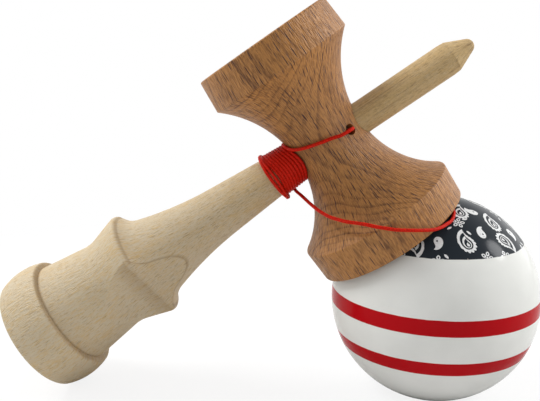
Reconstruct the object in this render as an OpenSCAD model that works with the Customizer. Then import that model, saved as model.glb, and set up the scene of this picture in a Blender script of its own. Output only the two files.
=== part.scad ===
// Kendama: a turned wooden cup-and-ball toy, standing as it is set down.
// The ball stands on the flat round its large hole, the large cup rests on the ball
// and the handle leans down to the floor on its base rim.
// The ken's axis is z and the cross piece's axis is x until the toy is stood up by placed().

/* [Ball] */
// Diameter of the ball
ball_d = 60; // [59:0.5:62]
// Diameter of the large hole that takes the spike
ana_d = 22; // [19:0.5:24]
// Wood left above the bead's pocket, which sets how deep the large hole goes
top_wall = 7.7; // [7:0.1:9]
// Width of the flat ring round the large hole, on which the ball stands
foot_w = 0.8; // [0.5:0.1:1.2]
// Diameter of the string hole at the top of the ball
string_hole_d = 4; // [3.6:0.1:4.6]
// Diameter of the bead that stops the string inside the ball
bead_d = 9; // [7.5:0.5:10]

/* [Cross piece] */
// Diameter of the waist of the cross piece
waist_d = 21; // [20.6:0.1:21.4]
// Distance from the ken's axis to the rim of the small cup
small_l = 33.4; // [32:0.2:36]
// Diameter over the ridge behind the small cup
small_ridge_d = 42.8; // [42:0.2:44]
// Diameter over the rim of the small cup
small_rim_d = 41.4; // [40:0.2:42.4]
// Depth of the small cup
small_depth = 6.8; // [5:0.2:8]
// Distance from the ken's axis to the rim of the large cup
big_l = 33.2; // [32.8:0.1:33.6]
// Diameter over the ridge behind the large cup
big_ridge_d = 46.6; // [46.2:0.1:47]
// Diameter over the rim of the large cup
big_rim_d = 45.8; // [45.4:0.1:46.2]
// Depth of the large cup
big_depth = 7.4; // [7.2:0.1:7.6]
// Distance from the ken's axis to both ridges
ridge_at = 24.2; // [23.6:0.1:24.8]
// Radius of the rounded lip of both cups
lip_r = 0.6; // [0.4:0.05:0.8]
// Diameter of the hole where the string comes out
eyelet_d = 3.2; // [2.6:0.1:3.6]

/* [Ken] */
// Length of the spike from the axis of the cross piece
spike_l = 47.8; // [46:0.2:54]
// Diameter of the spike
spike_d = 9.3; // [9:0.1:9.6]
// Length of the pointed end of the spike
point_l = 6.8; // [5:0.2:9]
// Diameter of the seat inside the cross piece
seat_d = 9.8; // [9.7:0.05:10]
// Diameter of the handle just under the cross piece
handle_d = 10.3; // [10.2:0.05:10.5]
// Distance from the axis of the cross piece to the middle of the collar
collar_at = 64.9; // [64:0.1:66]
// Diameter of the collar
collar_d = 32.2; // [31.6:0.1:32.8]
// Diameter of the waist between the collar and the base
ken_waist_d = 26.9; // [26.4:0.1:27.4]
// Distance from the axis of the cross piece to the base rim
base_at = 103.8; // [102:0.2:106]
// Diameter of the barrel round the base cup
base_d = 36.9; // [36.2:0.1:38]
// Height of the barrel round the base cup
base_h = 12.7; // [12:0.1:13.4]
// Depth of the base cup
base_depth = 6; // [4:0.2:7]
// Distance from the axis to the two flats cut into the collar
flat_r = 11.2; // [10.8:0.1:12]
// Turn of the flats from the front
flat_deg = 27; // [20:1:35]

/* [String] */
// Diameter of the braided string
string_d = 0.85; // [0.8:0.05:0.95]
// Whole turns of the string round the handle
wound_turns = 7; // [5:1:7]

/* [Hidden] */
$fn = 96;
arc_steps = 12;
long_arc_steps = 32;
over = 1;
beech = [0.87, 0.74, 0.56];
cherry = [0.71, 0.46, 0.31];
paint = [0.95, 0.95, 0.94];
bead_wood = [0.80, 0.66, 0.46];
red = [0.82, 0.06, 0.08];

// Ball, in its own frame with the string hole up
ball_r = ball_d / 2;
ana_r = ana_d / 2;
foot_r = ana_r + foot_w;
foot_h = sqrt(ball_r * ball_r - foot_r * foot_r);
drill_deg = 60;
bead_r = bead_d / 2;
bead_clear = 0.15;
bead_hole_clear = 0.25;
pocket_clear = 1;
pocket_r = bead_r + pocket_clear;
pocket_tip = ball_r - top_wall;
pocket_top = pocket_tip - pocket_r / tan(drill_deg);
pocket_from = pocket_top - bead_d;
ana_top = pocket_from - (ana_r - pocket_r) / tan(drill_deg);
bead_at = pocket_tip - (bead_r + bead_clear) / sin(drill_deg);
stopper_r = 1.45;
stopper_sink = 0.15;
stopper_at = bead_at - bead_r - stopper_r + stopper_sink;

// Cross piece
waist_r = waist_d / 2;
seat_gap = 0.3;
ball_at = big_l - big_depth + seat_gap + ball_r;
lip_w = 0.9;
small_dish_r = small_rim_d / 2 - lip_w;
big_dish_r = big_rim_d / 2 - lip_w;
ridge_round = 0.5;
bore_clear = 0.05;
bore_r = seat_d / 2 + bore_clear;
eyelet_deg = 40;

// Ken
seat_r = seat_d / 2;
seat_over = 0.5;
seat_end = waist_r + seat_over;
spike_r = spike_d / 2;
shoulder_l = 1;
seat_top = sqrt(waist_r * waist_r - seat_r * seat_r) - shoulder_l;
tip_r = 2.1;
tip_taper = 0.15;
tip_taper_l = 2;
collar_round = 1.4;
collar_deg = 64;
flare_r = 7;
flare_deg = 17;
grip_r = 110;
neck_r = 10.5;
neck_below_collar = 10.7;
neck_at = collar_at + neck_below_collar;
bell_deg = 8;
barrel_r = 17;
barrel_deg = 19;
base_round = 1.2;
ledge_round = 0.8;
base_land = 1;
base_dish_r = base_d / 2 - barrel_r + (barrel_r - base_round) * cos(barrel_deg) - base_land;
barrel_at = base_at - base_round - (barrel_r - base_round) * sin(barrel_deg);
ledge_at = base_at - base_h;
ledge_deg = asin((barrel_at - ledge_at - ledge_round) / (barrel_r - ledge_round));
flat_l = 12.2;
flat_lift = 1.4;
flat_curve = 45;
hollow_curve = 22;
hollow_half = 3.2;
anchor_hole_r = 0.95;
anchor_pocket_r = 1.6;
anchor_r = 1.2;
anchor_in = 1.7;

// Standing: the ball is upright and the base rim touches the same floor
foot_c = [base_dish_r + base_land, base_at - base_round];
reach = [ball_at - foot_c.x, foot_c.y];
lean = atan2(reach.y, reach.x) - asin((foot_h - base_round) / norm(reach));
stand_h = ball_at * sin(lean) + foot_h;
left_end = -foot_c.y * sin(lean) - foot_c.x * cos(lean) - base_round;
right_end = ball_at * cos(lean) + ball_r;

// Winding on the handle
handle_deg = tangent_deg(grip_c() - [handle_d / 2, -seat_end], grip_r);
wound_from_deg = 183;
wound_to_deg = 15;
wound_below_seat = 0.65;
wound_top = seat_end + wound_below_seat;
wound_spacing = 0.43;
wound_pitch = string_d + wound_spacing;
wound_ease = 0.05;
wound_lift = string_d / 2 + wound_ease;
rings_a_turn = 24;
wound_sides = 6;
free_sides = 8;
wound_deg = wound_from_deg - wound_to_deg + 360 * wound_turns;

// Hand-laid routes of the free string
lead_points = [
    [0, 0.9, -0.8], [0, -1.2, 1], [0, -3.4, 2.9], [0, -5.7, 4.8], [0, -7.3, 6.1], [0, -8.5, 7],
    [-0.1, -9.5, 7.4], [-0.2, -10.5, 7.1], [-0.3, -11.1, 6.2], [-0.4, -11.4, 5], [-0.6, -11.5, 3.6],
    [-1.2, -11.4, 1.5], [-1.7, -11.4, -0.7], [-2.2, -11.1, -2.9], [-2.7, -10.2, -5.2],
    [-3.2, -9, -7.2], [-3.8, -7.4, -9], [-4.6, -5.4, -10.6], [-5.5, -3.2, -11.6]];
run_points = [
    [6.9, -1.1, -21.2], [7.1, -2.3, -20.5], [7.1, -3.2, -19.2], [7, -3.9, -17.8], [7.1, -4.9, -16.5],
    [7.6, -6.4, -15.4], [8.6, -8.3, -14.6], [9.8, -10.1, -13.9], [11.2, -11.9, -13.3],
    [12.6, -13.6, -12.6], [14, -15.4, -11.7], [15.3, -17.1, -10.7], [16.7, -18.9, -9.3],
    [18.1, -20.6, -7.7], [19.6, -22, -5.8], [21.1, -23.2, -4], [22.7, -24, -2.3], [24.5, -24.4, -0.3],
    [26.4, -24.5, 1.8], [28.2, -24.2, 4.1], [29.8, -23.6, 6.4], [31.3, -22.6, 8.6],
    [32.6, -21.3, 10.8], [33.7, -19.8, 12.8], [34.6, -18.1, 14.6], [35.1, -16.5, 16],
    [35.1, -14.9, 17.1], [34.8, -13.4, 17.8], [34.2, -11.9, 18.2], [33, -9.1, 18.2],
    [31.9, -6.2, 17.9], [31.2, -3.6, 17.5]];

// Outline helpers: arcs that bulge out of the wood and arcs that are scooped into it.
// An arc that runs on smoothly from the one before leaves out its first point.
function bulge(c, r, from, to, n, first = 0) = [for (i = [first:n]) c + r * dir(from + (to - from) * i / n)];
function scoop(c, r, from, to, n, first = 0) = [for (i = [first:n]) c - r * dir(from + (to - from) * i / n)];
function dir(a) = [cos(a), sin(a)];
function tangent_deg(d, r) = atan2(d.y, d.x) + acos(r / norm(d));
function dish_ball(rim, depth) = (rim * rim + depth * depth) / (2 * depth);

// Centres of the ken's arcs, from the collar towards the grip
function collar_c() = [collar_d / 2 - collar_round, -collar_at];
function flare_c() = collar_c() + (collar_round + flare_r) * dir(collar_deg);
function grip_c() = flare_c() + (grip_r - flare_r) * dir(flare_deg);
function neck_c() = [ken_waist_d / 2 + neck_r, -neck_at];
function barrel_c() = [base_d / 2 - barrel_r, -barrel_at];

// Tube helpers: a ring of points at each place of a route, joined by triangles
function unit(v) = v / norm(v);
function heading(p, i) = unit(p[min(i + 1, len(p) - 1)] - p[max(i - 1, 0)]);
function square_to(v, t) = unit(v - (v * t) * t);
function carried(p, i, v) = let (n = square_to(v, heading(p, i)))
    i == len(p) - 1 ? [n] : concat([n], carried(p, i + 1, n));
function ring(c, t, n, r, sides) =
    [for (j = [0:sides - 1]) c + r * (cos(360 * j / sides) * n + sin(360 * j / sides) * cross(t, n))];
function eased(p, from, to) = let (last = len(p) - 1)
    [for (i = [0:last]) p[i] + (1 - i / last) * (from - p[0]) + i / last * (to - p[last])];

module tube(p, d, sides) {
    n = carried(p, 0, [0, 0, 1]);
    rings = [for (i = [0:len(p) - 1]) ring(p[i], heading(p, i), n[i], d / 2, sides)];
    last = (len(p) - 1) * sides;
    walls = [for (i = [0:len(p) - 2], j = [0:sides - 1])
        let (a = i * sides + j, b = i * sides + (j + 1) % sides)
        each [[a, a + sides, b], [b, a + sides, b + sides]]];
    ends = [for (j = [1:sides - 2]) each [[0, j, j + 1], [last, last + j + 1, last + j]]];
    polyhedron([for (r = rings) each r], concat(walls, ends));
}

// Winding: a helix down the tapered handle with a straight stub at each end
function handle_r_at(z) = handle_d / 2 + (z - seat_end) * tan(handle_deg);
function wound_at(a) = let (z = wound_top + wound_pitch * (wound_from_deg - a) / 360,
                            r = handle_r_at(z) + wound_lift) [r * cos(a), r * sin(a), -z];
function wound_heading(a) = [sin(a), -cos(a), 0];
wound_steps = round(rings_a_turn * wound_deg / 360);
wound_turn_points = [for (i = [0:wound_steps]) wound_at(wound_from_deg - wound_deg * i / wound_steps)];
wound_in = wound_turn_points[0] - string_d * wound_heading(wound_from_deg);
wound_out = wound_turn_points[wound_steps] + string_d * wound_heading(wound_to_deg);
wound_points = concat([wound_in], wound_turn_points, [wound_out]);
wound_gap = min([for (i = [0:wound_steps - rings_a_turn / 2], j = [i + rings_a_turn / 2:wound_steps])
    norm(wound_turn_points[i] - wound_turn_points[j])]) - string_d;
echo(str("least gap between turns of the winding, mm: ", wound_gap));

// Routes with their ends tied to the winding and to the ball
string_ease = 0.1;
string_lift = ball_r + string_d / 2 + string_ease;
mouth_bend = 1.8;
mouth_lead = 3.1;
lead_straight = 1.2;
function in_ball(side, up) = [ball_at - up * sin(lean), -side, up * cos(lean)];
function on_ball(side) = in_ball(side, sqrt(string_lift * string_lift - side * side));
lead_stub = wound_in - string_d * wound_heading(wound_from_deg);
lead_end = lead_stub - lead_straight * wound_heading(wound_from_deg);
lead_route = concat(eased(lead_points, lead_points[0], lead_end), [lead_stub, wound_in]);
run_stub = wound_out + string_d * wound_heading(wound_to_deg);
run_start = run_stub + string_d * wound_heading(wound_to_deg);
run_tied = eased(run_points, run_start, on_ball(mouth_lead));
mouth_up = string_lift - mouth_bend;
run_mouth = [for (a = [90:30:180]) in_ball(mouth_bend * (1 + cos(a)), mouth_up + mouth_bend * sin(a))];
tail_top = mouth_up - string_d;
run_route = concat([wound_out, run_stub], run_tied, run_mouth, [in_ball(0, tail_top)]);

module placed() {
    translate([-(left_end + right_end) / 2, 0, stand_h])
        rotate([0, lean, 0])
            children();
}

module on_cross_axis() {
    rotate([0, 90, 0])
        children();
}

module upright_in_ball() {
    translate([ball_at, 0, 0])
        rotate([0, -lean, 0])
            children();
}

// Ken: spike, handle, collar and base cup turned from one piece
module ken_outline() {
    pull = neck_c() - collar_c();
    collar_from = tangent_deg(pull, neck_r + collar_round);
    bell_from = neck_c() - neck_r * dir(bell_deg);
    bell_r = bell_from.x + (ledge_at + bell_from.y) * tan(bell_deg);
    base_c = [foot_c.x, -foot_c.y];
    ledge_c = barrel_c() + (barrel_r - ledge_round) * dir(ledge_deg);
    tip_c = [0, spike_l - tip_r];
    tip_base = [spike_r - tip_taper, spike_l - point_l];
    tip_deg = tangent_deg(tip_base - tip_c, tip_r);
    polygon(concat(
        [[0, -base_at]],
        bulge(base_c, base_round, -90, -barrel_deg, arc_steps),
        bulge(barrel_c(), barrel_r, -barrel_deg, ledge_deg, arc_steps, 1),
        bulge(ledge_c, ledge_round, ledge_deg, 90, arc_steps, 1),
        [[bell_r, -ledge_at]],
        scoop(neck_c(), neck_r, bell_deg, collar_from, arc_steps),
        bulge(collar_c(), collar_round, collar_from, collar_deg, arc_steps, 1),
        scoop(flare_c(), flare_r, collar_deg, flare_deg, arc_steps, 1),
        scoop(grip_c(), grip_r, flare_deg, handle_deg, arc_steps, 1),
        [[handle_d / 2, -seat_end], [seat_r, -seat_end], [seat_r, seat_top],
         [spike_r, seat_end + shoulder_l], [spike_r, tip_base.y - tip_taper_l], tip_base],
        bulge(tip_c, tip_r, tip_deg, 90, arc_steps)));
}

// One flat on the collar: a long shallow cut above its edge and a deeper hollow below it
module collar_flat() {
    width = collar_d + over;
    rise = [flat_lift, flat_l];
    middle = [flat_r, -collar_at] + [-rise.x, rise.y] / 2;
    out = [rise.y, rise.x] / norm(rise);
    rotate([90, 0, 0])
        linear_extrude(height = width, center = true) {
            intersection() {
                translate(middle + out * sqrt(flat_curve * flat_curve - rise * rise / 4))
                    circle(flat_curve);
                translate([0, -collar_at])
                    square([collar_d, collar_d]);
            }
            intersection() {
                translate([flat_r + sqrt(hollow_curve * hollow_curve - hollow_half * hollow_half),
                           -collar_at - hollow_half])
                    circle(hollow_curve);
                translate([0, -collar_at - collar_d])
                    square([collar_d, collar_d]);
            }
        }
}

// Line of the string through the ken and out of the cross piece
module along_eyelet() {
    rotate([90 - eyelet_deg, 0, 0])
        children();
}

module ken() {
    base_ball = dish_ball(base_dish_r, base_depth);
    color(beech)
        placed()
            difference() {
                rotate_extrude()
                    ken_outline();
                translate([0, 0, base_depth - base_at - base_ball])
                    sphere(base_ball);
                for (turn = [0, 180])
                    rotate([0, 0, flat_deg - 90 + turn])
                        collar_flat();
                along_eyelet()
                    cylinder(r = anchor_hole_r, h = seat_end);
                along_eyelet()
                    translate([0, 0, -seat_end])
                        cylinder(r = anchor_pocket_r, h = seat_end);
            }
}

// Sarado: cross piece with the small cup, the large cup and the bore for the ken
function flare_ball(ridge_d) = let (w = waist_r - ridge_d / 2 + ridge_round)
    (w * w + ridge_at * ridge_at - ridge_round * ridge_round) / (2 * (ridge_round - w));
function flare_turn(ridge_d) = asin(ridge_at / (flare_ball(ridge_d) + ridge_round));

module sarado_outline() {
    small_lip = [small_rim_d / 2 - lip_r, lip_r - small_l];
    big_lip = [big_rim_d / 2 - lip_r, big_l - lip_r];
    small_ridge = [small_ridge_d / 2 - ridge_round, -ridge_at];
    big_ridge = [big_ridge_d / 2 - ridge_round, ridge_at];
    small_band = -atan2(small_ridge.x - small_lip.x, small_ridge.y - small_lip.y);
    big_band = atan2(big_ridge.x - big_lip.x, big_lip.y - big_ridge.y);
    small_turn = flare_turn(small_ridge_d);
    big_turn = flare_turn(big_ridge_d);
    small_flare = flare_ball(small_ridge_d);
    big_flare = flare_ball(big_ridge_d);
    polygon(concat(
        [[0, -small_l]],
        bulge(small_lip, lip_r, -90, small_band, arc_steps),
        bulge(small_ridge, ridge_round, small_band, small_turn, arc_steps),
        scoop([waist_r + small_flare, 0], small_flare, small_turn, 0, long_arc_steps, 1),
        scoop([waist_r + big_flare, 0], big_flare, 0, -big_turn, long_arc_steps, 1),
        bulge(big_ridge, ridge_round, -big_turn, big_band, arc_steps, 1),
        bulge(big_lip, lip_r, big_band, 90, arc_steps),
        [[0, big_l]]));
}

module sarado() {
    small_ball = dish_ball(small_dish_r, small_depth);
    big_ball = dish_ball(big_dish_r, big_depth);
    color(cherry)
        placed()
            difference() {
                on_cross_axis()
                    rotate_extrude()
                        sarado_outline();
                translate([small_depth - small_l - small_ball, 0, 0])
                    sphere(small_ball);
                translate([big_l - big_depth + big_ball, 0, 0])
                    sphere(big_ball);
                cylinder(r = bore_r, h = 2 * waist_d, center = true);
                along_eyelet()
                    cylinder(r = eyelet_d / 2, h = waist_d);
            }
}

// Tama: painted ball with the large hole below, a pocket for the bead and the string hole above
module tama_bore() {
    hole_r = string_hole_d / 2;
    rotate_extrude()
        polygon([
            [0, -ball_r], [ana_r, -ball_r], [ana_r, ana_top], [pocket_r, pocket_from],
            [pocket_r, pocket_top], [hole_r, pocket_tip - hole_r / tan(drill_deg)],
            [hole_r, ball_d], [0, ball_d]]);
}

module tama() {
    color(paint)
        placed()
            upright_in_ball()
                difference() {
                    sphere(ball_r);
                    translate([0, 0, -foot_h - ball_r])
                        cylinder(r = ball_r, h = ball_r);
                    tama_bore();
                }
}

// Bead: keeps the string from slipping out through the top of the ball
module bead() {
    color(bead_wood)
        placed()
            upright_in_ball()
                translate([0, 0, bead_at])
                    difference() {
                        sphere(bead_r);
                        cylinder(r = string_d / 2 + bead_hole_clear, h = bead_d + over, center = true);
                    }
}

// Knot that holds the string inside the ken
module string_anchor() {
    color(red)
        placed()
            along_eyelet()
                translate([0, 0, -anchor_in])
                    sphere(anchor_r);
}

// String from the knot, out of the cross piece and over its waist to the handle
module string_lead() {
    color(red)
        placed()
            tube(lead_route, string_d, free_sides);
}

// String wound round the handle under the cross piece
module string_winding() {
    color(red)
        placed()
            tube(wound_points, string_d, wound_sides);
}

// Free string in front of the large cup, over its lip and into the top of the ball
module string_run() {
    color(red)
        placed()
            tube(run_route, string_d, free_sides);
}

// String down through the ball and the bead
module string_tail() {
    color(red)
        placed()
            upright_in_ball()
                translate([0, 0, stopper_at])
                    cylinder(r = string_d / 2, h = tail_top - stopper_at);
}

// Knot under the bead
module string_stopper() {
    color(red)
        placed()
            upright_in_ball()
                translate([0, 0, stopper_at])
                    sphere(stopper_r);
}

ken();
sarado();
tama();
bead();
string_anchor();
string_lead();
string_winding();
string_run();
string_tail();
string_stopper();
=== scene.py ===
import math

import bpy
from mathutils import Matrix, Vector


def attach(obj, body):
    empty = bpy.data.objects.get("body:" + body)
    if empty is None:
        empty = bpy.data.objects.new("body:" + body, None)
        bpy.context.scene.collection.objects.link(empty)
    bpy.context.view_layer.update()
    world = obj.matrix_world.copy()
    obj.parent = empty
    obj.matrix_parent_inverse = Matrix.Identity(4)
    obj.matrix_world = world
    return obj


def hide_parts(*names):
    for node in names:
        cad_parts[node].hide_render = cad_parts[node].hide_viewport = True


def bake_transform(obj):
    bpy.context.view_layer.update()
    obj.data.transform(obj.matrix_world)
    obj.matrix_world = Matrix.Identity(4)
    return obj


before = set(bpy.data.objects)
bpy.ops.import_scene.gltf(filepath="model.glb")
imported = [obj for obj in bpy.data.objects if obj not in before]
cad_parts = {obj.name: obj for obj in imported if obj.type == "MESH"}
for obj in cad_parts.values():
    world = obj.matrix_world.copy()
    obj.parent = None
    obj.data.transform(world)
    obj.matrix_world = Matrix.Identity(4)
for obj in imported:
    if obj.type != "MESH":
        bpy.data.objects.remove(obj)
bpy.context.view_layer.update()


# Camera
# A normal lens on 36 mm film, about 22 cm in front of the toy and a little above it. It looks
# slightly down, so that the top of the ball and the near sides of both turned pieces show.
CAMERA_AT = Vector((0.00298, -0.22301, 0.10182))
CAMERA_RIGHT = Vector((0.99985, 0.0160, 0.01046))
CAMERA_AHEAD = Vector((-0.01358, 0.9791, -0.20273))
FILM_W = 36
LENS = 52.7
NEAREST = 0.01

camera_data = bpy.data.cameras.new("camera")
camera_data.sensor_width = FILM_W
camera_data.lens = LENS
camera_data.clip_start = NEAREST
camera = bpy.data.objects.new("camera", camera_data)
bpy.context.collection.objects.link(camera)
ahead = CAMERA_AHEAD.normalized()
right = (CAMERA_RIGHT - CAMERA_RIGHT.dot(ahead) * ahead).normalized()
up = right.cross(ahead)
camera.matrix_world = Matrix.Translation(CAMERA_AT) @ Matrix((right, up, -ahead)).transposed().to_4x4()
bpy.context.scene.camera = camera


# String
# One length of thin red braid, knotted inside the ken. It leaves the cross piece, crosses its waist,
# is wound tightly round the handle, up against the waist, and then runs loosely in front of the
# large cup to the hole at the top of the ball.
STRING_D = 0.98
STRING_ROUNDNESS = 3
STRING_RED = (0.69, 0.015, 0.004, 1)
GROOVE_SHADE = 0.72
GROOVE_FROM = (0.25, 0.75)
STRAND_W = 0.4 * STRING_D
FIBRES_A_METRE = 2400.0
FIBRE_HEIGHT = 0.5
CURVE_STEPS = 4
# The axes of the ken and the cross piece meet at the crossing, and the ken leans from upright there.
# The ball's middle lies on the cross piece's axis, and the handle widens from the end of its seat.
LEAN = math.radians(54.96668)
CROSSING = (0.0162073, 0.0, 0.0735176)
BALL_AT = 56.1
BALL_R = 30.0
HANDLE_R = 5.15
HANDLE_SLOPE = math.tan(math.radians(4.4))
SEAT_END = 11.0


def stood(x, y, z):
    """A point in millimetres along the cross piece, away from the viewer and up the ken, in metres."""
    return Vector((
        CROSSING[0] + (x * math.cos(LEAN) + z * math.sin(LEAN)) / 1000,
        CROSSING[1] + y / 1000,
        CROSSING[2] + (z * math.cos(LEAN) - x * math.sin(LEAN)) / 1000,
    ))


def upright(side, up_mm):
    """A point in millimetres in front of the ball's middle and up its string hole."""
    return (BALL_AT - up_mm * math.sin(LEAN), -side, up_mm * math.cos(LEAN))


def smooth(points):
    """A smooth line through the points, as a cubic between each two of them."""
    line = []
    for i in range(len(points) - 1):
        a, b, c, d = (Vector(points[min(max(i + k, 0), len(points) - 1)]) for k in (-1, 0, 1, 2))
        for j in range(CURVE_STEPS):
            t = j / CURVE_STEPS
            square = (2 * a - 5 * b + 4 * c - d) * t * t
            line.append(0.5 * (2 * b + (c - a) * t + square + (3 * b - a - 3 * c + d) * t ** 3))
    return line + [Vector(points[-1])]


def ease(start, end, value):
    """A soft step from 0 to 1 between two values."""
    t = min(max((value - start) / (end - start), 0), 1)
    return t * t * (3 - 2 * t)


def only(piece):
    """Selects one piece and nothing else."""
    if bpy.context.object and bpy.context.object.mode != "OBJECT":
        bpy.ops.object.mode_set(mode="OBJECT")
    bpy.ops.object.select_all(action="DESELECT")
    piece.select_set(True)
    bpy.context.view_layer.objects.active = piece


def drawn(name, loops, dimensions, closed):
    """A curve object through lists of points, not yet a mesh."""
    curve = bpy.data.curves.new(name, "CURVE")
    curve.dimensions = dimensions
    for loop in loops:
        spline = curve.splines.new("POLY")
        spline.points.add(len(loop) - 1)
        for point, place in zip(spline.points, loop):
            point.co = (*place, 1)
        spline.use_cyclic_u = closed
    piece = bpy.data.objects.new(name, curve)
    bpy.context.collection.objects.link(piece)
    return piece


def add(tree, kind, links=None, **settings):
    """A shader node with its settings made and its inputs set or linked."""
    made = tree.nodes.new(kind)
    for key, value in settings.items():
        setattr(made, key, value)
    for key, value in (links or {}).items():
        if isinstance(value, bpy.types.NodeSocket):
            tree.links.new(value, made.inputs[key])
        else:
            made.inputs[key].default_value = value
    return made


def new_finish(name):
    """A material with an empty node tree."""
    finish = bpy.data.materials.new(name)
    finish.use_nodes = True
    finish.node_tree.nodes.clear()
    return finish, finish.node_tree


def surfaced(tree, links):
    """Ends a material's tree in one surface with these inputs."""
    shader = add(tree, "ShaderNodeBsdfPrincipled", links)
    add(tree, "ShaderNodeOutputMaterial", {"Surface": shader.outputs[0]})


def own_place(tree):
    """A point's place on its piece, in metres."""
    return add(tree, "ShaderNodeTexCoord").outputs["Object"]


def sums(tree, operation, *values):
    """A Math node's result."""
    return add(tree, "ShaderNodeMath", dict(enumerate(values)), operation=operation).outputs[0]


def step(tree, value, start, end):
    """A soft step from 0 to 1 while a value goes from start to end."""
    links = {"Value": value, "From Min": start, "From Max": end}
    return add(tree, "ShaderNodeMapRange", links, interpolation_type="SMOOTHSTEP").outputs["Result"]


def noise(tree, place, scale, detail):
    """Soft noise at a place, from 0 to 1."""
    links = {"Vector": place, "Scale": scale, "Detail": detail}
    return add(tree, "ShaderNodeTexNoise", links).outputs["Fac"]


def raised(tree, height, strength, distance):
    """The normals of a surface with fine relief."""
    links = {"Height": height, "Strength": strength, "Distance": distance}
    return add(tree, "ShaderNodeBump", links).outputs["Normal"]


def blended(tree, share, first, second):
    """A colour between two colours."""
    return add(tree, "ShaderNodeMix", {0: share, 6: first, 7: second}, data_type="RGBA").outputs[2]


def shaded(colour, share):
    """A darker colour of the same hue."""
    return tuple(share * c for c in colour[:3]) + (1,)


def red_braid():
    """Dull braid with painted shade in the grooves between its strands, and a fuzz of fibres."""
    finish, tree = new_finish("red_braid")
    place = own_place(tree)
    fibres = noise(tree, place, FIBRES_A_METRE, detail=2.0)
    strands = {"Vector": place, "Scale": 1000 / STRAND_W}
    groove = add(tree, "ShaderNodeTexVoronoi", strands).outputs["Distance"]
    height = sums(tree, "SUBTRACT", sums(tree, "MULTIPLY", fibres, FIBRE_HEIGHT), groove)
    # Painted shade: the grooves between the strands are a darker red.
    painted_groove_shade = shaded(STRING_RED, GROOVE_SHADE)
    surfaced(tree, {
        "Base Color": blended(tree, step(tree, groove, *GROOVE_FROM), STRING_RED, painted_groove_shade),
        "Normal": raised(tree, height, strength=0.35, distance=0.0002),
        "Roughness": 0.5, "Specular IOR Level": 0.1})
    return finish


STRING_FINISH = red_braid()


def braid(name, path):
    """A round string along a path, as a mesh."""
    piece = drawn(name, [path], "3D", False)
    piece.data.bevel_depth = STRING_D / 2000
    piece.data.bevel_resolution = STRING_ROUNDNESS
    piece.data.use_fill_caps = True
    only(piece)
    bpy.ops.object.convert(target="MESH")
    bpy.ops.object.shade_smooth()
    piece = bpy.context.object
    piece.data.materials.append(STRING_FINISH)
    return piece


lead_points = [
    (0, 0.9, -0.8), (0, -1.2, 1), (0, -3.4, 2.9), (0, -5.7, 4.8), (0, -7.3, 6.1), (0, -8.5, 7),
    (-0.1, -9.5, 7.4), (-0.2, -10.5, 7.1), (-0.3, -11.1, 6.2), (-0.4, -11.4, 5), (-0.6, -11.5, 3.6),
    (-1.2, -11.4, 1.5), (-1.7, -11.4, -0.7), (-2.2, -11.1, -2.9), (-2.7, -10.2, -5.2),
    (-3.2, -9, -7.2), (-3.8, -7.4, -9), (-4.5, -5.5, -10.2), (-5.5, -3.3, -11)]

# The winding goes round the handle from one angle to another and down it turn by turn.
WOUND_FROM = 183
WOUND_TO = 15
WOUND_TOP = 11.5
WOUND_PITCH = 0.85
ALL_TURNS = 11
PACKED_TURNS = 8.9
RINGS_A_TURN = 40
# Its first turn comes level off the lead, a little clear of the handle.
FIRST_TURN = 0.7
START_LIFT = 0.3
LIFT_ENDS = 0.35
# The turns rise in front and behind, where the round waist leaves more room, and the first ones most.
SADDLE = 1.6
SADDLE_FIRST = 0.55
SADDLE_TURNS = 4
SADDLE_LOSS = 0.95
# The last two turns lie loose, and each stands off the handle in one small bight.
LOOSENS_OVER = 0.5
LOOSE_LIFT = 0.5
LOOSE_CLOSER = 0.6
BIGHT_TURNS = (9.508, 10.508)
BIGHT_SPAN = 0.085
BIGHT_OUT = 0.6
BIGHT_PINCH = 0.3
# The end is tucked up over them, to where the free run leaves the winding.
TUCK_BEFORE = 0.02
TUCK_SHORT = 0.06
TUCK_LIFT = 0.35
RUN_DOWN = 16

wound_turns = ALL_TURNS + (WOUND_FROM - WOUND_TO) / 360
wound_points = []
for i in range(int(RINGS_A_TURN * wound_turns) + 1):
    turn = i / RINGS_A_TURN
    angle = math.radians(WOUND_FROM - 360 * turn)
    started = ease(0, LIFT_ENDS, turn)
    loose = ease(PACKED_TURNS, PACKED_TURNS + LOOSENS_OVER, turn)
    past_packed = max(turn - PACKED_TURNS, 0)
    tucked = ease(ALL_TURNS - TUCK_BEFORE, wound_turns - TUCK_SHORT, turn)
    bights = [math.exp(-((turn - middle) / BIGHT_SPAN) ** 2) for middle in BIGHT_TURNS]
    down = WOUND_TOP + WOUND_PITCH * max(turn - FIRST_TURN, 0) - LOOSE_CLOSER * past_packed
    out = HANDLE_R + (down - SEAT_END) * HANDLE_SLOPE + STRING_D / 2
    out += START_LIFT * (1 - started) + LOOSE_LIFT * loose + TUCK_LIFT * tucked + BIGHT_OUT * sum(bights)
    down += (RUN_DOWN - down) * tucked
    saddle = SADDLE + SADDLE_FIRST * max(1 - turn / SADDLE_TURNS, 0) - SADDLE_LOSS * past_packed
    saddle *= math.sin(angle) ** 2 * (1 - tucked)
    pinch = BIGHT_PINCH * (bights[1] - bights[0])
    wound_points.append((out * math.cos(angle), out * math.sin(angle), saddle + pinch - down))

wound_path = [stood(*p) for p in smooth(lead_points)] + [stood(*p) for p in wound_points]
string_wound = braid("string_wound", wound_path)
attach(string_wound, "ken")
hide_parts("string_lead", "string_winding")

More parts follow.
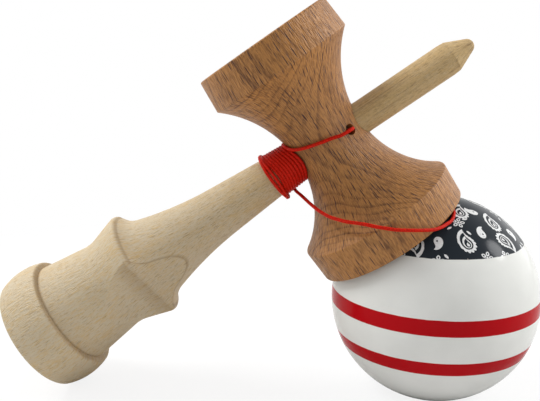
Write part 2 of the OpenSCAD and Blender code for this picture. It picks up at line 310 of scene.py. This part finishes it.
run_points = [
    (7.1, -0.5, -15.8), (8.2, -3.4, -15.1), (9.5, -6.4, -14.4), (10.6, -9.2, -13.8),
    (11.6, -11.6, -13.2), (12.6, -13.6, -12.6), (14, -15.4, -11.7), (15.3, -17.1, -10.7),
    (16.6, -18.9, -9.2), (17.9, -20.6, -7.6), (19.3, -22, -5.6), (20.7, -23.2, -3.7),
    (22.3, -24, -2), (24.1, -24.4, 0), (26, -24.5, 2.1), (27.8, -24.2, 4.4), (29.5, -23.6, 6.6),
    (31.1, -22.6, 8.6), (32.3, -21.6, 10.2), (33.3, -20.1, 12), (34, -18.1, 13.7),
    (34.5, -16.5, 15.1), (34.6, -14.9, 16.2), (34.4, -13.4, 17), (34, -11.9, 17.6),
    (33, -9.1, 18.1), (31.9, -6.2, 17.9), (31.2, -3.6, 17.5)]
# The run bends over the edge of the ball's string hole and goes down into it.
MOUTH_BEND = 1.8
MOUTH_DEGREES = (90, 120, 150, 180)
STRING_CLEAR = 0.1
mouth_up = BALL_R + STRING_D / 2 + STRING_CLEAR - MOUTH_BEND
tail_top = mouth_up - STRING_D
run_mouth = []
for a in map(math.radians, MOUTH_DEGREES):
    run_mouth.append(upright(MOUTH_BEND * (1 + math.cos(a)), mouth_up + MOUTH_BEND * math.sin(a)))
run_end = upright(0, tail_top)
run_path = [stood(*p) for p in smooth([wound_points[-1]] + run_points + run_mouth + [run_end])]
string_run = braid("string_run_braid", run_path)
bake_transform(string_run)
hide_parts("string_run")


# Knots and tail
# The string's two ends are tied in tight overhand knots of the same braid: one pulled into the
# pocket behind the string's hole in the ken, and one under the bead, at the end of the tail that
# hangs in the ball.
STOPPER_UP = 11.13
STOPPER_R = 1.45
ANCHOR_AT = (0, 1.302, -1.093)
ANCHOR_R = 1.2
KNOT_STEPS = 72
KNOT_REACH = 3
TAIL_STEPS = 12


def overhand(name, middle, reach):
    """A tight overhand knot of the same string, within a reach from its middle."""
    size = (reach - STRING_D / 2) / KNOT_REACH
    path = []
    for i in range(KNOT_STEPS + 1):
        t = math.tau * i / KNOT_STEPS
        bend = (math.sin(t) + 2 * math.sin(2 * t), math.cos(t) - 2 * math.cos(2 * t), -math.sin(3 * t))
        path.append(stood(*(m + size * b for m, b in zip(middle, bend))))
    return braid(name, path)


stopper_knot = overhand("stopper_knot", upright(0, STOPPER_UP), STOPPER_R)
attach(stopper_knot, "stopper")
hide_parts("string_stopper")

anchor_knot = overhand("anchor_knot", ANCHOR_AT, ANCHOR_R)
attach(anchor_knot, "ken")
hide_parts("string_anchor")

tail_path = []
for i in range(TAIL_STEPS + 1):
    tail_path.append(stood(*upright(0, tail_top + (STOPPER_UP - tail_top) * i / TAIL_STEPS)))
string_tail = braid("string_tail_braid", tail_path)
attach(string_tail, "stopper")
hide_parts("string_tail")


# Ken
# The handle, with its spike, thumb collar and base cup, turned from one piece of pale beech with
# the grain along it. It is sanded and left almost bare, so the short brown rays show everywhere.
# Pores, veins and rays are laid out round a piece as on a cylinder of this radius.
TURNED_R = 14.0
# Year rings round a pith outside the piece, each with its own share of late wood.
PITH = 60.0
RING_WANDER = (70.0, 18.0, 18.0)
WANDER_REACH = 5.0
LATE_RISE = (0.5, 0.9)
LATE_FALL = (1.0, 0.92)
LEAST_LATE = 0.3
# Pores in short streaks, wide patches of tone, a warmer tone and brown veins towards the spike.
PORES = (2.2, 0.24, 1.5)
PORES_FROM = (0.3, 0.7)
PATCHES = (40.0, 6.0, 6.0)
PATCH_TONE = (0.9, -0.25)
TONE_FROM = (-55.0, 20.0)
VEINS = (34.0, 2.4, 4.0)
VEINS_SHOW = (0.5, 0.72)
VEINS_FROM = (0.0, 15.0)
# Rays, the short ones fainter than the long ones. Both fade on the end wood inside a cup.
RAY_EDGE = (1.0, 0.6)
SHOWN_EDGE = 0.1
SHORT_RAY_SHARE = 0.5
CUP_FADE = 0.85
SOFT_EDGE = 0.6
# Relief and gloss of the sanded wood.
RAYS_SUNK = 0.6
PORE_ROUGHNESS = 0.15


def vectors(tree, operation, *values):
    """A Vector Math node's result, a number or a vector."""
    made = add(tree, "ShaderNodeVectorMath", dict(enumerate(values)), operation=operation)
    return made.outputs["Value" if operation in ("DOT_PRODUCT", "LENGTH") else "Vector"]


def along(tree, place, direction):
    """How far a place lies in a direction."""
    return vectors(tree, "DOT_PRODUCT", place, direction)


def diagonal(tree, a, b):
    """The length of two lengths at right angles."""
    squares = sums(tree, "ADD", sums(tree, "MULTIPLY", a, a), sums(tree, "MULTIPLY", b, b))
    return sums(tree, "SQRT", squares)


def band(tree, value, rise, fall):
    """A soft step from 0 to 1 and back."""
    return sums(tree, "MULTIPLY", step(tree, value, *rise), step(tree, value, *fall))


def millimetres(tree, middle, turn=(0, 0, 0)):
    """A point's place in millimetres from a middle, along directions that are turned with the piece."""
    links = {"Vector": own_place(tree), "Location": middle, "Rotation": turn, "Scale": (0.001,) * 3}
    return add(tree, "ShaderNodeMapping", links, vector_type="TEXTURE").outputs[0]


def stretched(tree, parts, sizes):
    """A vector of three lengths, each over its own size."""
    scaled = {i: sums(tree, "DIVIDE", part, size) for i, (part, size) in enumerate(zip(parts, sizes))}
    return add(tree, "ShaderNodeCombineXYZ", scaled).outputs[0]


def cloud(tree, parts, sizes, detail):
    """Noise drawn out to a size along each of three directions."""
    return noise(tree, stretched(tree, parts, sizes), 1.0, detail)


def on_lathe(tree, place, grain):
    """Lengths along a turned piece, round it at its middle radius, and out from its axis."""
    front = Vector((0, -1, 0))
    ahead = along(tree, place, front)
    beside = along(tree, place, grain.cross(front))
    around = sums(tree, "MULTIPLY", sums(tree, "ARCTAN2", beside, ahead), TURNED_R)
    return [along(tree, place, grain), around, diagonal(tree, ahead, beside)]


def year_rings(tree, parts, gap):
    """How much late wood a point has."""
    wander = cloud(tree, parts, RING_WANDER, detail=1.5)
    ring = diagonal(tree, sums(tree, "ADD", parts[1], PITH), parts[2])
    ring = sums(tree, "DIVIDE", sums(tree, "MULTIPLY_ADD", wander, WANDER_REACH, ring), gap)
    late = band(tree, sums(tree, "FRACT", ring), LATE_RISE, LATE_FALL)
    each = add(tree, "ShaderNodeTexWhiteNoise", {"W": sums(tree, "FLOOR", ring)}, noise_dimensions="1D")
    own = sums(tree, "MULTIPLY_ADD", each.outputs["Value"], 1 - LEAST_LATE, LEAST_LATE)
    return sums(tree, "MULTIPLY", late, own)


def flecks(tree, turned, gaps, halves, share):
    """Flecks of half sizes, at gaps along, round and out from a turned piece. A share of them shows."""
    place = stretched(tree, turned, gaps)
    cells = add(tree, "ShaderNodeTexVoronoi", {"Vector": place, "Scale": 1.0})
    away = vectors(tree, "SUBTRACT", place, cells.outputs["Position"])
    widen = sums(tree, "MULTIPLY", turned[2], gaps[1] / halves[1] / TURNED_R)
    sizes = {0: gaps[0] / halves[0], 1: widen, 2: gaps[2] / halves[2]}
    away = vectors(tree, "MULTIPLY", away, add(tree, "ShaderNodeCombineXYZ", sizes).outputs[0])
    inside = step(tree, vectors(tree, "LENGTH", away), *RAY_EDGE)
    each = add(tree, "ShaderNodeSeparateColor", {0: cells.outputs["Color"]}).outputs[0]
    shown = step(tree, each, 1 - SHOWN_EDGE - share, 1 + SHOWN_EDGE - share)
    return sums(tree, "MULTIPLY", inside, shown)


def outside_cup(tree, turned, floor, mouth, rim_r):
    """1 all over a turned piece, and less inside its cup."""
    within = step(tree, turned[2], rim_r, rim_r - SOFT_EDGE)
    inside = sums(tree, "MULTIPLY", step(tree, turned[0], floor, mouth), within)
    return sums(tree, "MULTIPLY_ADD", inside, -CUP_FADE, 1.0)


def painted_crease_shade(tree, turned, middle, width, from_r, depth):
    """Painted shade as a darker line round a turned piece, on a ledge or a ridge."""
    line = band(tree, turned[0], (middle - width, middle), (middle + width, middle))
    line = sums(tree, "MULTIPLY", line, step(tree, turned[2], from_r, from_r + SOFT_EDGE))
    return sums(tree, "MULTIPLY", line, depth)


def painted_flat_shade(tree, place, turned, middle, radius, ends, line, flat_shade_depth):
    """Painted shade: a darker tone on the two thumb flats that a round cut leaves, and along their edges.
    """
    side = sums(tree, "SUBTRACT", sums(tree, "ABSOLUTE", along(tree, place, FLAT_WAY)), middle[0])
    rise = sums(tree, "SUBTRACT", turned[0], middle[1])
    under = sums(tree, "SUBTRACT", diagonal(tree, side, rise), radius)
    edge = sums(tree, "MULTIPLY", band(tree, under, FLAT_SKIN, FLAT_EDGE), line)
    flat_face_shade = sums(tree, "MULTIPLY", step(tree, under, *reversed(FLAT_SKIN)), flat_shade_depth)
    return sums(tree, "MULTIPLY", sums(tree, "MAXIMUM", edge, flat_face_shade), step(tree, turned[0], *ends))


def beech(name, grain, across, early, late, ray_and_shade_brown, ring_gap, ring_depth, long_rays, short_rays, ray_depth,
          streak, gloss, shine, tipward=0.0, veins=0.0, crease_shades=(), flats=(), cups=()):
    """Turned beech: early and late wood, pores, patches, veins and rays, and painted shade on ledges,
    ridges and flats.
    """
    finish, tree = new_finish(name)
    place = millimetres(tree, CROSSING, (0, LEAN, 0))
    grain = Vector(grain).normalized()
    across = Vector(across).normalized()
    parts = [along(tree, place, axis) for axis in (grain, across, grain.cross(across))]
    turned = on_lathe(tree, place, grain)

    pores = step(tree, cloud(tree, turned, PORES, detail=2.0), *PORES_FROM)
    patches = cloud(tree, parts, PATCHES, detail=2.0)
    tone = sums(tree, "MULTIPLY", year_rings(tree, parts, ring_gap), ring_depth)
    tone = sums(tree, "ADD", tone, sums(tree, "MULTIPLY_ADD", pores, streak, -streak / 2))
    tone = sums(tree, "ADD", tone, sums(tree, "MULTIPLY_ADD", patches, *PATCH_TONE))
    tone = sums(tree, "ADD", tone, sums(tree, "MULTIPLY", step(tree, turned[0], *TONE_FROM), tipward))
    tone = add(tree, "ShaderNodeClamp", {0: tone}).outputs[0]

    vein = step(tree, cloud(tree, turned, VEINS, detail=2.5), *VEINS_SHOW)
    vein = sums(tree, "MULTIPLY", vein, step(tree, turned[0], *VEINS_FROM))
    faint = sums(tree, "MULTIPLY", flecks(tree, turned, **short_rays), SHORT_RAY_SHARE)
    rays = sums(tree, "MAXIMUM", flecks(tree, turned, **long_rays), faint)
    for cup in cups:
        rays = sums(tree, "MULTIPLY", rays, outside_cup(tree, turned, **cup))
    # Veins and rays are marks in the wood; the creases and flats add painted shade in the same brown.
    marks_and_painted_shade = [sums(tree, "MULTIPLY", vein, veins)]
    marks_and_painted_shade += [painted_crease_shade(tree, turned, **line) for line in crease_shades]
    marks_and_painted_shade += [painted_flat_shade(tree, place, turned, **cut) for cut in flats]
    marks_and_painted_shade += [sums(tree, "MULTIPLY", rays, ray_depth)]
    colour = blended(tree, tone, early, late)
    for mark_or_painted_shade in marks_and_painted_shade:
        colour = blended(tree, mark_or_painted_shade, colour, ray_and_shade_brown)

    height = sums(tree, "MULTIPLY_ADD", rays, -RAYS_SUNK, pores)
    surfaced(tree, {
        "Base Color": colour, "Normal": raised(tree, height, strength=0.5, distance=0.0002),
        "Roughness": sums(tree, "MULTIPLY_ADD", pores, PORE_ROUGHNESS, gloss),
        "Specular IOR Level": shine})
    return finish


# The collar's two thumb flats, each from an upper and a lower round cut, and the turned ledge and ridge.
# Painted shade darkens the ledge and the ridge in lines, and the flats and their edges.
FLAT_TURN = math.radians(27)
FLAT_WAY = (math.sin(FLAT_TURN), -math.cos(FLAT_TURN), 0)
FLAT_SKIN = (0.04, 0.1)
FLAT_EDGE = (0.5, 0.15)
COLLAR_AT = -64.9
UPPER_ENDS = (COLLAR_AT - 0.05, COLLAR_AT + 0.05)
LOWER_ENDS = (-71.0, COLLAR_AT - 0.15)
# Painted shade on the flats: a darker line along their edges and a darker face.
UPPER_FLAT_SHADE = {"middle": (54.79, -53.72), "radius": 45.0, "ends": UPPER_ENDS, "line": 0.42, "flat_shade_depth": 0.05}
LOWER_FLAT_SHADE = {"middle": (32.97, -68.1), "radius": 22.0, "ends": LOWER_ENDS, "line": 0.15, "flat_shade_depth": 0.34}
# Painted shade along the base ledge and the collar ridge.
BASE_LEDGE_SHADE = {"middle": -91.0, "width": 0.6, "from_r": 12.0, "depth": 0.45}
COLLAR_RIDGE_SHADE = {"middle": -63.4, "width": 0.9, "from_r": 14.4, "depth": 0.4}
PALE_BEECH = beech(
    "pale_beech", grain=(0, 0, 1), across=(0.75, -0.66, 0),
    early=(0.62, 0.52, 0.365, 1), late=(0.62, 0.43, 0.195, 1), ray_and_shade_brown=(0.27, 0.155, 0.06, 1),
    ring_gap=2.1, ring_depth=0.26,
    long_rays={"gaps": (2.6, 0.85, 3.0), "halves": (1.1, 0.085, 1.4), "share": 0.6},
    short_rays={"gaps": (1.0, 0.42, 2.0), "halves": (0.4, 0.08, 0.9), "share": 0.85}, ray_depth=0.62,
    streak=0.95, gloss=0.5, shine=0.3, tipward=0.75, veins=0.48,
    crease_shades=(BASE_LEDGE_SHADE, COLLAR_RIDGE_SHADE), flats=(UPPER_FLAT_SHADE, LOWER_FLAT_SHADE))
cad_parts["ken"].material_slots[0].material = PALE_BEECH


# Sarado
# The cross piece with the small and the large cup, turned from one piece of reddish beech with the
# grain along it, oiled, and pushed onto the ken's seat. The string comes out of its waist.
SMALL_CUP = {"floor": -22.5, "mouth": -25.0, "rim_r": 19.9}
LARGE_CUP = {"floor": 22.5, "mouth": 25.0, "rim_r": 22.0}
RED_BEECH = beech(
    "red_beech", grain=(1, 0, 0), across=(0, -0.80, -0.60),
    early=(0.46, 0.205, 0.053, 1), late=(0.15, 0.057, 0.015, 1), ray_and_shade_brown=(0.034, 0.008, 0.012, 1),
    ring_gap=1.4, ring_depth=0.6,
    long_rays={"gaps": (4.2, 1.15, 3.2), "halves": (2.1, 0.15, 1.7), "share": 0.95},
    short_rays={"gaps": (1.5, 0.5, 2.0), "halves": (0.7, 0.08, 0.9), "share": 0.85}, ray_depth=1.0,
    streak=0.7, gloss=0.42, shine=0.42, cups=(SMALL_CUP, LARGE_CUP))
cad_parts["sarado"].material_slots[0].material = RED_BEECH


# Tama
# The ball, turned from beech, painted white with a black cap and two red stripes while it spins on
# the lathe, and varnished. The wall of its large hole is left bare.
BALL_MIDDLE = stood(BALL_AT, 0, 0)
PAINT_WHITE = (0.82, 0.825, 0.79, 1)
PAINT_BLACK = (0.023, 0.029, 0.036, 1)
PAINT_RED = (0.465, 0.003, 0.007, 1)
BARE_WOOD = (0.62, 0.47, 0.29, 1)
CAP_FROM = 17.95
STRIPES = ((-1.22, 3.16), (-13.16, -9.12))
HOLE_R = 11.05
HOLE_TOP = 26.0
PAINT_EDGE = 0.06
# The brush wavers a little at each edge, and neither the white nor the varnish is quite even.
BRUSH_WAVES_A_MM = 0.35
BRUSH_REACH = 0.16
DUST_SPOTS_A_MM = 0.12
DUST_FROM = (0.35, 0.75)
DUST_SHADE = 0.955
VARNISH_ROUGHNESS = 0.1
DUST_ROUGHNESS = 0.08
BARE_ROUGHNESS = 0.5
# Small nicks in the paint, far apart.
NICKS_A_MM = 0.16
NICK_EDGE = (0.024, 0.014)
NICK_TONE = (0.62, 0.55, 0.5, 1)


def ball_paint():
    """Glossy paint in bands across the ball, and bare wood in its hole."""
    finish, tree = new_finish("ball_paint")
    place = millimetres(tree, BALL_MIDDLE)
    apart = add(tree, "ShaderNodeSeparateXYZ", {0: place})
    waver = noise(tree, place, BRUSH_WAVES_A_MM, detail=3.0)
    waver = sums(tree, "MULTIPLY_ADD", waver, BRUSH_REACH, -BRUSH_REACH / 2)
    high = sums(tree, "ADD", apart.outputs["Z"], waver)
    dust = noise(tree, place, DUST_SPOTS_A_MM, detail=4.0)

    colour = blended(tree, step(tree, dust, *DUST_FROM), PAINT_WHITE, shaded(PAINT_WHITE, DUST_SHADE))
    for low, top in STRIPES:
        rise = (low - PAINT_EDGE, low + PAINT_EDGE)
        fall = (top + PAINT_EDGE, top - PAINT_EDGE)
        colour = blended(tree, band(tree, high, rise, fall), colour, PAINT_RED)
    cap = step(tree, high, CAP_FROM - PAINT_EDGE, CAP_FROM + PAINT_EDGE)
    colour = blended(tree, cap, colour, PAINT_BLACK)
    nicks = add(tree, "ShaderNodeTexVoronoi", {"Vector": place, "Scale": NICKS_A_MM}).outputs["Distance"]
    colour = blended(tree, step(tree, nicks, *NICK_EDGE), colour, NICK_TONE)
    outwards = diagonal(tree, apart.outputs["X"], apart.outputs["Y"])
    bare = sums(tree, "MULTIPLY", sums(tree, "LESS_THAN", outwards, HOLE_R),
                sums(tree, "LESS_THAN", apart.outputs["Z"], HOLE_TOP))
    varnish = sums(tree, "MULTIPLY_ADD", dust, DUST_ROUGHNESS, VARNISH_ROUGHNESS)
    surfaced(tree, {
        "Base Color": blended(tree, bare, colour, BARE_WOOD),
        "Normal": raised(tree, dust, strength=0.08, distance=0.0005),
        "Roughness": sums(tree, "MULTIPLY_ADD", bare, BARE_ROUGHNESS, varnish),
        "Specular IOR Level": 0.06})
    return finish


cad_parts["tama"].material_slots[0].material = ball_paint()


# Print on the cap
# White paisley drops, commas, flowers and leaves in the manner of a printed kerchief, repeated
# five times round the string hole: a thin film of paint that ends where the cap ends.
PRINT_WHITE = (0.80, 0.81, 0.81, 1)
GRAINS_A_METRE = 1500.0
WORN_FROM = (0.5, 0.75)
WORN_SHADE = 0.8
PRINT_LIFT = 0.012
PRINT_T = 0.02
REPEATS = 5
DROP_STEPS = 96
DROP_FULLNESS = 0.69
DROP_TAPER = 1.1
SCALLOP_DEPTH = 0.16
SPOT_STEPS = 20
LEAF_POINT = 0.4
LEAF_SQUEEZE = 0.42
MERGE_WITHIN = 0.0005
LEAST_REACH = 1e-6


def drop(length, width, bend, scallops=0):
    """Outline of a paisley drop, its round end down and its tip curled over to one side."""
    stride = length / DROP_STEPS
    spine = [(0.0, -length / 2)]
    for i in range(DROP_STEPS):
        lean = bend * ((i + 0.5) / DROP_STEPS) ** 2
        x, y = spine[-1]
        spine.append((x - math.sin(lean) * stride, y + math.cos(lean) * stride))
    outline = []
    for i in range(DROP_STEPS):
        t = math.tau * i / DROP_STEPS
        lobes = 1
        if scallops:
            lobes += SCALLOP_DEPTH * abs(math.sin(scallops * t / 2)) * math.sin(t / 2) ** 2
        half = DROP_FULLNESS * width * math.sin(t) * math.sin(t / 2) ** DROP_TAPER * lobes
        high = 0.5 + 0.5 * math.cos(t) * (lobes if math.cos(t) < 0 else 1)
        lean = bend * max(high, 0) ** 2
        x, y = spine[min(max(round(high * DROP_STEPS), 0), DROP_STEPS)]
        y += min(high, 0) * length
        outline.append((x + half * math.cos(lean), y + half * math.sin(lean), 0))
    return outline


def inner(outline, share, low):
    """A smaller copy of an outline round a point low in its round end."""
    return [(x * share, low + (y - low) * share, 0) for x, y, _ in outline]


def spot(x, y, r, squeeze=1.0, turn=0.0):
    """A round spot, or a pointed leaf where it is squeezed."""
    outline = []
    for i in range(SPOT_STEPS):
        t = math.tau * i / SPOT_STEPS
        point = abs(math.sin(t)) ** LEAF_POINT if squeeze < 1 else 1
        a = r * math.cos(t)
        b = r * squeeze * math.sin(t) * point
        outline.append((x + a * math.cos(turn) - b * math.sin(turn),
                        y + a * math.sin(turn) + b * math.cos(turn), 0))
    return outline


def petals(out, r, squeeze):
    """Five petals round a middle, each pointing outwards."""
    return [spot(out * math.cos(a), out * math.sin(a), r, squeeze, a) for a in PETAL_ANGLES]


def flat_figure(name, loops):
    """A filled figure from nested outlines, as a flat mesh fine enough to lie on a ball."""
    figure = drawn(name, loops, "2D", True)
    figure.data.fill_mode = "BOTH"
    only(figure)
    bpy.ops.object.convert(target="MESH")
    bpy.ops.object.mode_set(mode="EDIT")
    bpy.ops.mesh.select_all(action="SELECT")
    bpy.ops.mesh.remove_doubles(threshold=MERGE_WITHIN)
    bpy.ops.mesh.subdivide(number_cuts=1)
    bpy.ops.object.mode_set(mode="OBJECT")
    return bpy.context.object


def on_ball(point, polar, around, turn):
    """Where a flat figure's point comes to lie on the ball."""
    x = point.x * math.cos(turn) - point.y * math.sin(turn)
    y = point.x * math.sin(turn) + point.y * math.cos(turn)
    south = Vector((math.cos(around), math.sin(around), 0))
    out = math.sin(polar) * south + math.cos(polar) * Vector((0, 0, 1))
    east = Vector((-math.sin(around), math.cos(around), 0))
    reach = math.hypot(x, y)
    towards = (east * x + out.cross(east) * y) / max(reach, LEAST_REACH)
    lifted = (BALL_R + PRINT_LIFT) / 1000
    bend = reach / BALL_R
    return BALL_MIDDLE + lifted * (out * math.cos(bend) + towards * math.sin(bend))


def worn_print():
    """White print that is a little worn in small grains."""
    finish, tree = new_finish("print_white")
    worn = step(tree, noise(tree, own_place(tree), GRAINS_A_METRE, detail=3.0), *WORN_FROM)
    surfaced(tree, {
        "Base Color": blended(tree, worn, PRINT_WHITE, shaded(PRINT_WHITE, WORN_SHADE)),
        "Roughness": 0.2, "Specular IOR Level": 0.12})
    return finish


# The outlines of each figure, in millimetres and radians. The big drop has rings inside it, each
# with its share of the drop's size and the height that it shrinks to.
big_edge = drop(length=7.4, width=4.0, bend=-1.3, scallops=18)
big_inside = drop(length=7.2, width=3.8, bend=-1.3)
BIG_RINGS = ((0.78, -1.7), (0.55, -1.8), (0.4, -1.9), (0.18, -2.0))
PETAL_COUNT = 5
FIRST_PETAL = 0.3
PETAL_ANGLES = [round(FIRST_PETAL + math.tau * i / PETAL_COUNT, 2) for i in range(PETAL_COUNT)]
LEAF_TURN = 1.57
SIDE_TURN = 0.63
figures = {
    "big_drop": [big_edge] + [inner(big_inside, *ring) for ring in BIG_RINGS],
    "comma": [drop(length=4.6, width=2.3, bend=-2.0), spot(0.35, -1.1, 0.26)],
    "flower": [
        *petals(out=1.15, r=0.72, squeeze=0.75), *petals(out=1.2, r=0.34, squeeze=0.6),
        spot(0, 0, 0.32)],
    "leaf": [spot(0, 0, 0.8, LEAF_SQUEEZE, LEAF_TURN)],
    "sprig": [
        spot(0, 0.5, 0.75, LEAF_SQUEEZE, LEAF_TURN),
        spot(-0.75, -0.1, 0.6, LEAF_SQUEEZE, LEAF_TURN + SIDE_TURN),
        spot(0.75, -0.1, 0.6, LEAF_SQUEEZE, LEAF_TURN - SIDE_TURN),
        spot(0, -0.75, 0.28)],
}
# Where each figure lies on one fifth of the cap: degrees from the top, round the ball and turned.
FIGURES_AT = {
    "big_drop": ((42.5, -82, 39), (32.1, -42, 5), (46.7, -42, -126), (20.1, -73, 8)),
    "comma": ((44.6, -99, 208), (37.8, -65, 21), (23.3, -55, 69)),
    "flower": ((30.7, -81, -17), (54.7, -100, 0), (53.0, -68, -21), (54.0, -53, 10)),
    "leaf": ((28.4, -72, -90), (37.9, -75, -147), (34.5, -91, -55), (51.6, -95, -136)),
    "sprig": ((9.5, -60, 40),),
}

flat_figures = {name: flat_figure(name, loops) for name, loops in figures.items()}
laid = []
for repeat in range(REPEATS):
    for name, places in FIGURES_AT.items():
        for polar, around, turn in places:
            copy = flat_figures[name].copy()
            copy.data = flat_figures[name].data.copy()
            bpy.context.collection.objects.link(copy)
            degrees = (polar, around + 360 / REPEATS * repeat, turn)
            for vertex in copy.data.vertices:
                vertex.co = on_ball(vertex.co, *map(math.radians, degrees))
            laid.append(copy)
only(laid[0])
for copy in laid[1:]:
    copy.select_set(True)
bpy.ops.object.join()
ball_print = bpy.context.object
ball_print.name = "ball_print"
bpy.ops.object.mode_set(mode="EDIT")
bpy.ops.mesh.select_all(action="SELECT")
cap_edge = (0, 0, BALL_MIDDLE.z + CAP_FROM / 1000)
bpy.ops.mesh.bisect(plane_co=cap_edge, plane_no=(0, 0, 1), clear_inner=True)
bpy.ops.mesh.select_all(action="SELECT")
bpy.ops.mesh.normals_make_consistent(inside=False)
bpy.ops.object.mode_set(mode="OBJECT")
film = ball_print.modifiers.new("film", "SOLIDIFY")
film.thickness = PRINT_T / 1000
film.offset = 1
bpy.ops.object.modifier_apply(modifier=film.name)
for figure in flat_figures.values():
    bpy.data.objects.remove(figure)
ball_print.data.materials.clear()
ball_print.data.materials.append(worn_print())
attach(ball_print, "tama")


# Bead
# A small bead inside the ball, turned from the same pale beech as the ken. The string goes
# through it, and the knot below pulls it up under the string hole.
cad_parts["bead"].material_slots[0].material = PALE_BEECH


# Floor and light
# A white table that runs into a white wall, with daylight that is stronger behind the toy than in
# front of it, and two soft lamps: one at the upper left, and one at the upper right along the ken.
FLOOR_SIZE = 40
FLOOR_WHITE = (0.95, 0.95, 0.95, 1)
FLOOR_BOUNCE = (0.66, 0.66, 0.66, 1)
PURE_WHITE = (1, 1, 1, 1)
SHADOW_SHARE = 0.15
SHADOW_REACH = (0.22, 0.12)
DAY_BEHIND = 0.95
DAY_IN_FRONT = 0.36
DAY_FROM = (-0.7, 0.1)
ROOM = 0.2
WALL_FROM = (-0.2, 0.6)
WINDOW = 1.2
WINDOW_FROM = (0.3, 0.8)
LAMPS_AIM = Vector((0, 0, 0.05))


def white_table():
    """White to the eye, with a share of the toy's shadow, and greyer to the light that it throws back."""
    finish, tree = new_finish("white_table")
    away = vectors(tree, "LENGTH", own_place(tree))
    rays = add(tree, "ShaderNodeLightPath")
    seen = sums(tree, "MAXIMUM", rays.outputs["Is Camera Ray"], rays.outputs["Is Transmission Ray"])
    plain = sums(tree, "MULTIPLY_ADD", step(tree, away, *SHADOW_REACH), -SHADOW_SHARE, 1.0)
    paint = {"Color": blended(tree, seen, FLOOR_BOUNCE, FLOOR_WHITE)}
    diffuse = add(tree, "ShaderNodeBsdfDiffuse", paint).outputs[0]
    white = add(tree, "ShaderNodeEmission", {"Color": PURE_WHITE, "Strength": 1.0}).outputs[0]
    parts = {0: sums(tree, "MULTIPLY", seen, plain), 1: diffuse, 2: white}
    add(tree, "ShaderNodeOutputMaterial", {"Surface": add(tree, "ShaderNodeMixShader", parts).outputs[0]})
    return finish


bpy.ops.object.select_all(action="DESELECT")
bpy.ops.mesh.primitive_plane_add(size=FLOOR_SIZE, location=(0, 0, 0))
floor = bpy.context.object
floor.name = "floor"
floor.data.materials.append(white_table())

# The camera sees plain white, reflections see a dim room with a bright wall and a window, and the
# toy's own shading comes from the daylight.
world = bpy.data.worlds.new("studio")
bpy.context.scene.world = world
world.use_nodes = True
sky = world.node_tree
sky.nodes.clear()
rays = add(sky, "ShaderNodeLightPath")
mirrored = sums(sky, "MAXIMUM", rays.outputs["Is Glossy Ray"], rays.outputs["Is Transmission Ray"])
seen = sums(sky, "MAXIMUM", rays.outputs["Is Camera Ray"], mirrored)
towards = add(sky, "ShaderNodeSeparateXYZ", {0: add(sky, "ShaderNodeTexCoord").outputs["Generated"]})
behind = towards.outputs["Y"]
room = sums(sky, "MULTIPLY_ADD", step(sky, behind, *WALL_FROM), 1.0 - ROOM, ROOM)
room = sums(sky, "MULTIPLY_ADD", step(sky, towards.outputs["X"], *WINDOW_FROM), WINDOW, room)
shown = sums(sky, "MAXIMUM", rays.outputs["Is Camera Ray"], room)
daylight = step(sky, behind, *DAY_FROM)
daylight = sums(sky, "MULTIPLY_ADD", daylight, DAY_BEHIND - DAY_IN_FRONT, DAY_IN_FRONT)
unseen = sums(sky, "MULTIPLY", sums(sky, "SUBTRACT", 1.0, seen), daylight)
strength = sums(sky, "ADD", sums(sky, "MULTIPLY", seen, shown), unseen)
backdrop = add(sky, "ShaderNodeBackground", {"Color": PURE_WHITE, "Strength": strength})
add(sky, "ShaderNodeOutputWorld", {"Surface": backdrop.outputs[0]})


def lamp(name, place, size, watts):
    """A round lamp that points at the toy."""
    light = bpy.data.lights.new(name, "AREA")
    light.shape = "DISK"
    light.size = size
    light.energy = watts
    holder = bpy.data.objects.new(name, light)
    bpy.context.collection.objects.link(holder)
    holder.location = place
    holder.rotation_euler = (LAMPS_AIM - Vector(place)).to_track_quat("-Z", "Y").to_euler()


lamp("upper_left", place=(-0.6, 0.15, 0.75), size=0.45, watts=6.0)
lamp("upper_right", place=(0.835, 0.05, 0.65), size=0.3, watts=4.8)
bpy.context.scene.view_settings.view_transform = "Standard"
